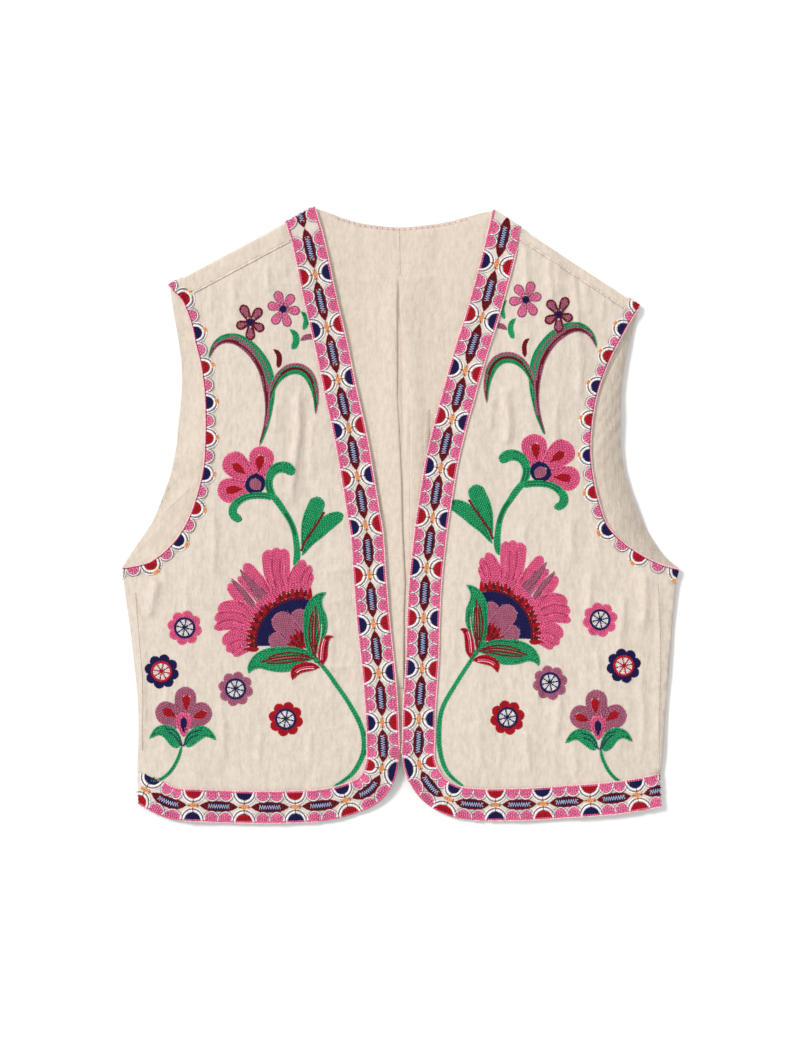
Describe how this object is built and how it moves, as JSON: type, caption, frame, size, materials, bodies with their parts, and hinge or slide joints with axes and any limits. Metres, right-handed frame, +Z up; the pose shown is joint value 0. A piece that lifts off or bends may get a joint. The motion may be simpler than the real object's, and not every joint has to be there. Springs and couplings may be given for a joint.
{
  "type": "embroidered waistcoat",
  "caption": "Sleeveless open-fronted cotton waistcoat with rounded front corners, taped borders and floral embroidery, laid flat on its back.",
  "frame": {"origin": "on the surface that the waistcoat lies on, under the middle of the box round it", "axes": "+X towards the wearer's left, +Y towards the neck, +Z up, out of the fronts"},
  "size_m": [0.472, 0.5234, 0.0078],
  "materials": {
    "back": "matt crinkled cotton gauze",
    "right_front": "matt crinkled cotton gauze",
    "left_front": "matt crinkled cotton gauze",
    "right_border": "embroidered tape",
    "left_border": "embroidered tape",
    "right_armhole_edging": "embroidered tape",
    "left_armhole_edging": "embroidered tape",
    "neck_border": "embroidered tape",
    "back_hem_border": "embroidered tape"
  },
  "bodies": {
    "root": {"back": "back", "right_front": "right_front", "left_front": "left_front", "right_border": "right_border", "left_border": "left_border", "right_armhole_edging": "right_armhole_edging", "left_armhole_edging": "left_armhole_edging", "neck_border": "neck_border", "back_hem_border": "back_hem_border"}
  },
  "joints": []
}
